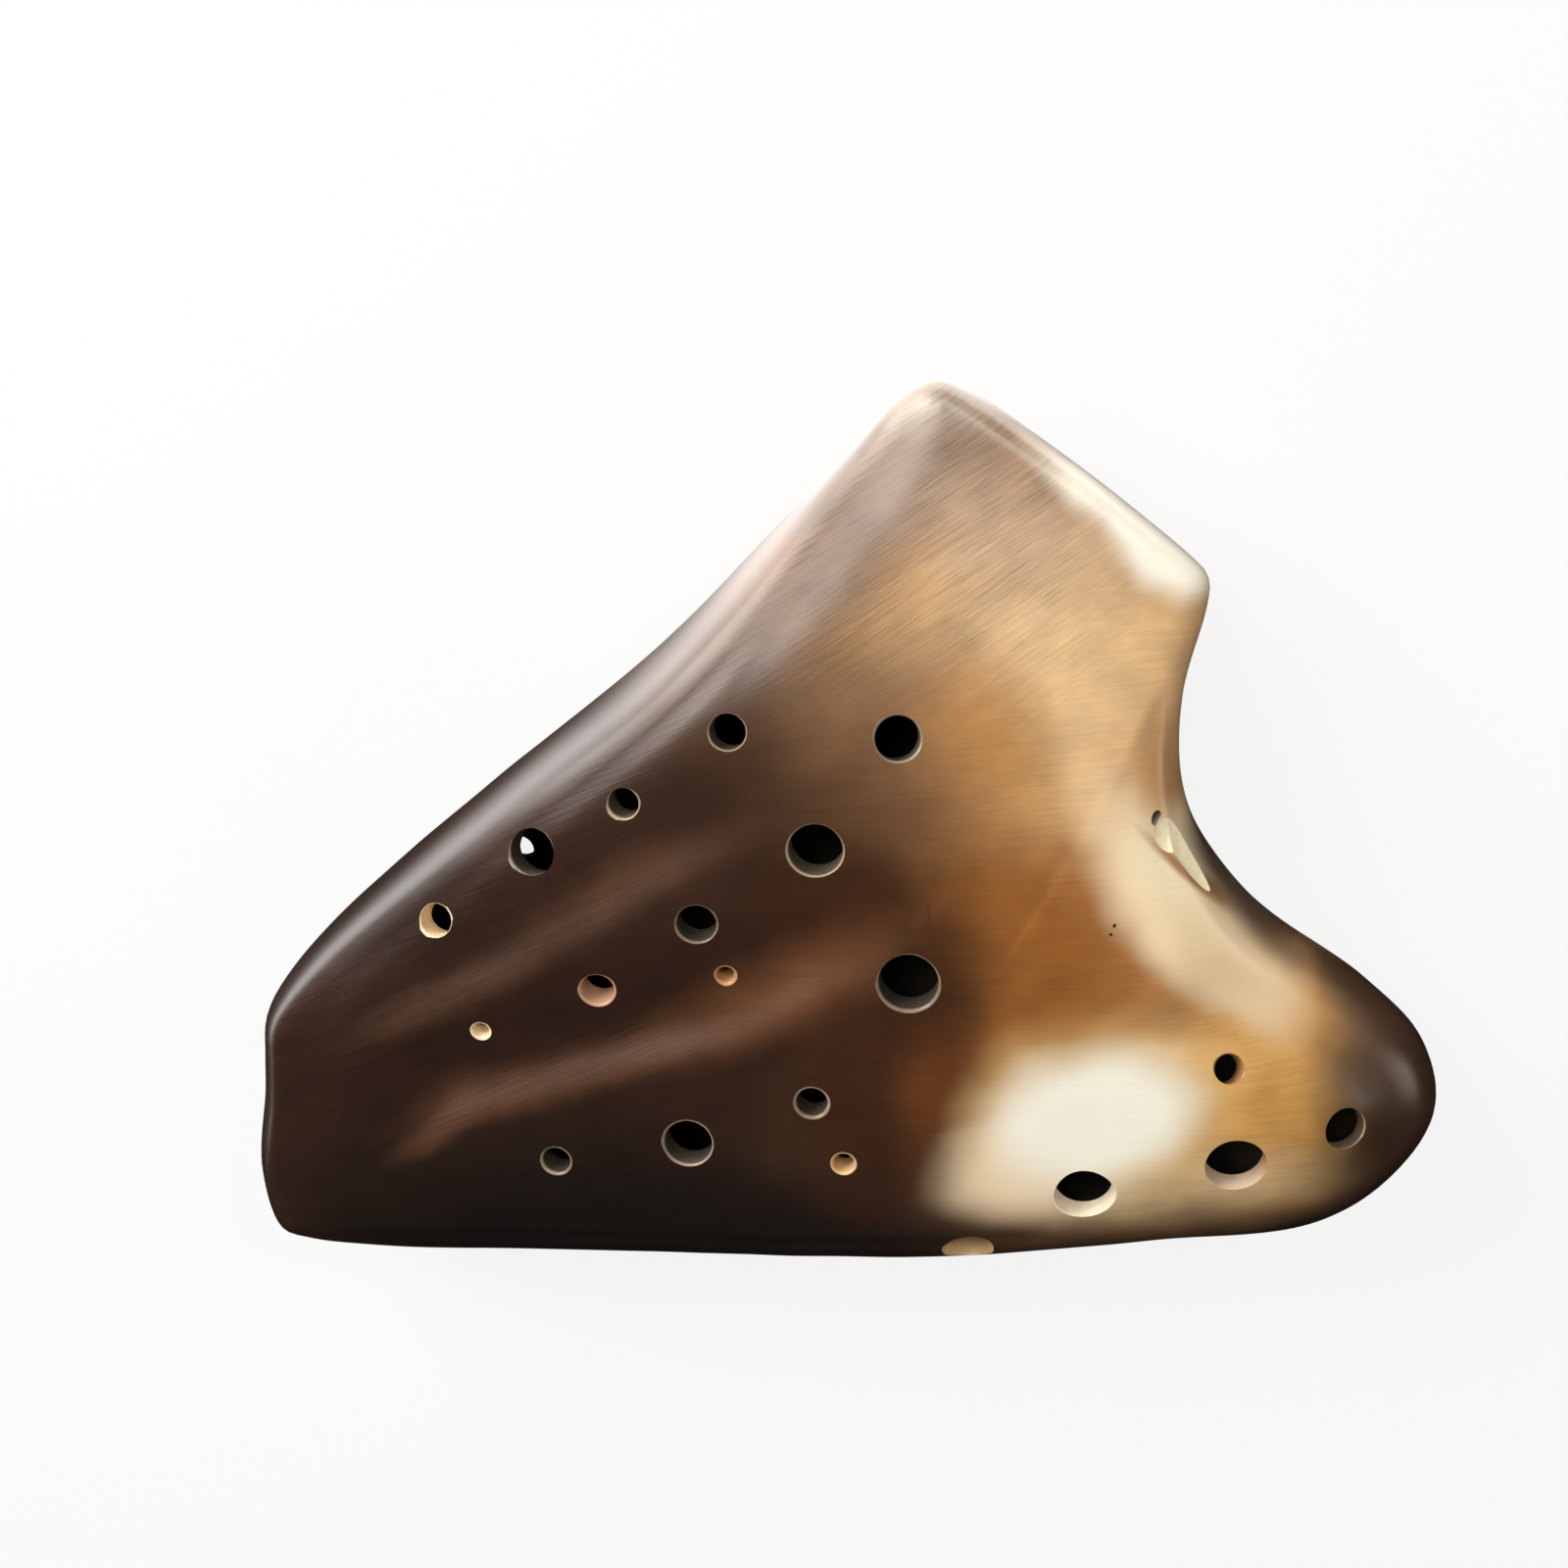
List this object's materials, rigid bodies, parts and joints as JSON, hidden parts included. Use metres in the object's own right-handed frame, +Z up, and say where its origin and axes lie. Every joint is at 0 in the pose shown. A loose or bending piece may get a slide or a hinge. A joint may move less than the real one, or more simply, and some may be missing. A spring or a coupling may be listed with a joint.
{
  "type": "triple ocarina",
  "caption": "Smoke-fired clay ocarina with three chambers, finger holes on the upper face, a slanting mouthpiece and a rounded left-hand bulb.",
  "frame": {"origin": "on the resting plane, under the middle of the outline's box", "axes": "+Z up through the finger-hole face, +X along the length toward the left-hand bulb, +Y toward the mouthpiece"},
  "size_m": [0.1937, 0.1496, 0.0434],
  "materials": {
    "smoked_clay": "burnished and waxed, dark smoke clouds over brown",
    "pale_smoked_clay": "burnished and waxed, lightly smoked",
    "bare_clay": "matt fired clay, not smoked"
  },
  "bodies": {
    "root": {"top_shell": "smoked_clay", "bottom_shell": "smoked_clay", "mouthpiece_block": "pale_smoked_clay", "windway_floor": "pale_smoked_clay", "low_middle_wall": "bare_clay", "middle_high_wall": "bare_clay"}
  },
  "joints": []
}
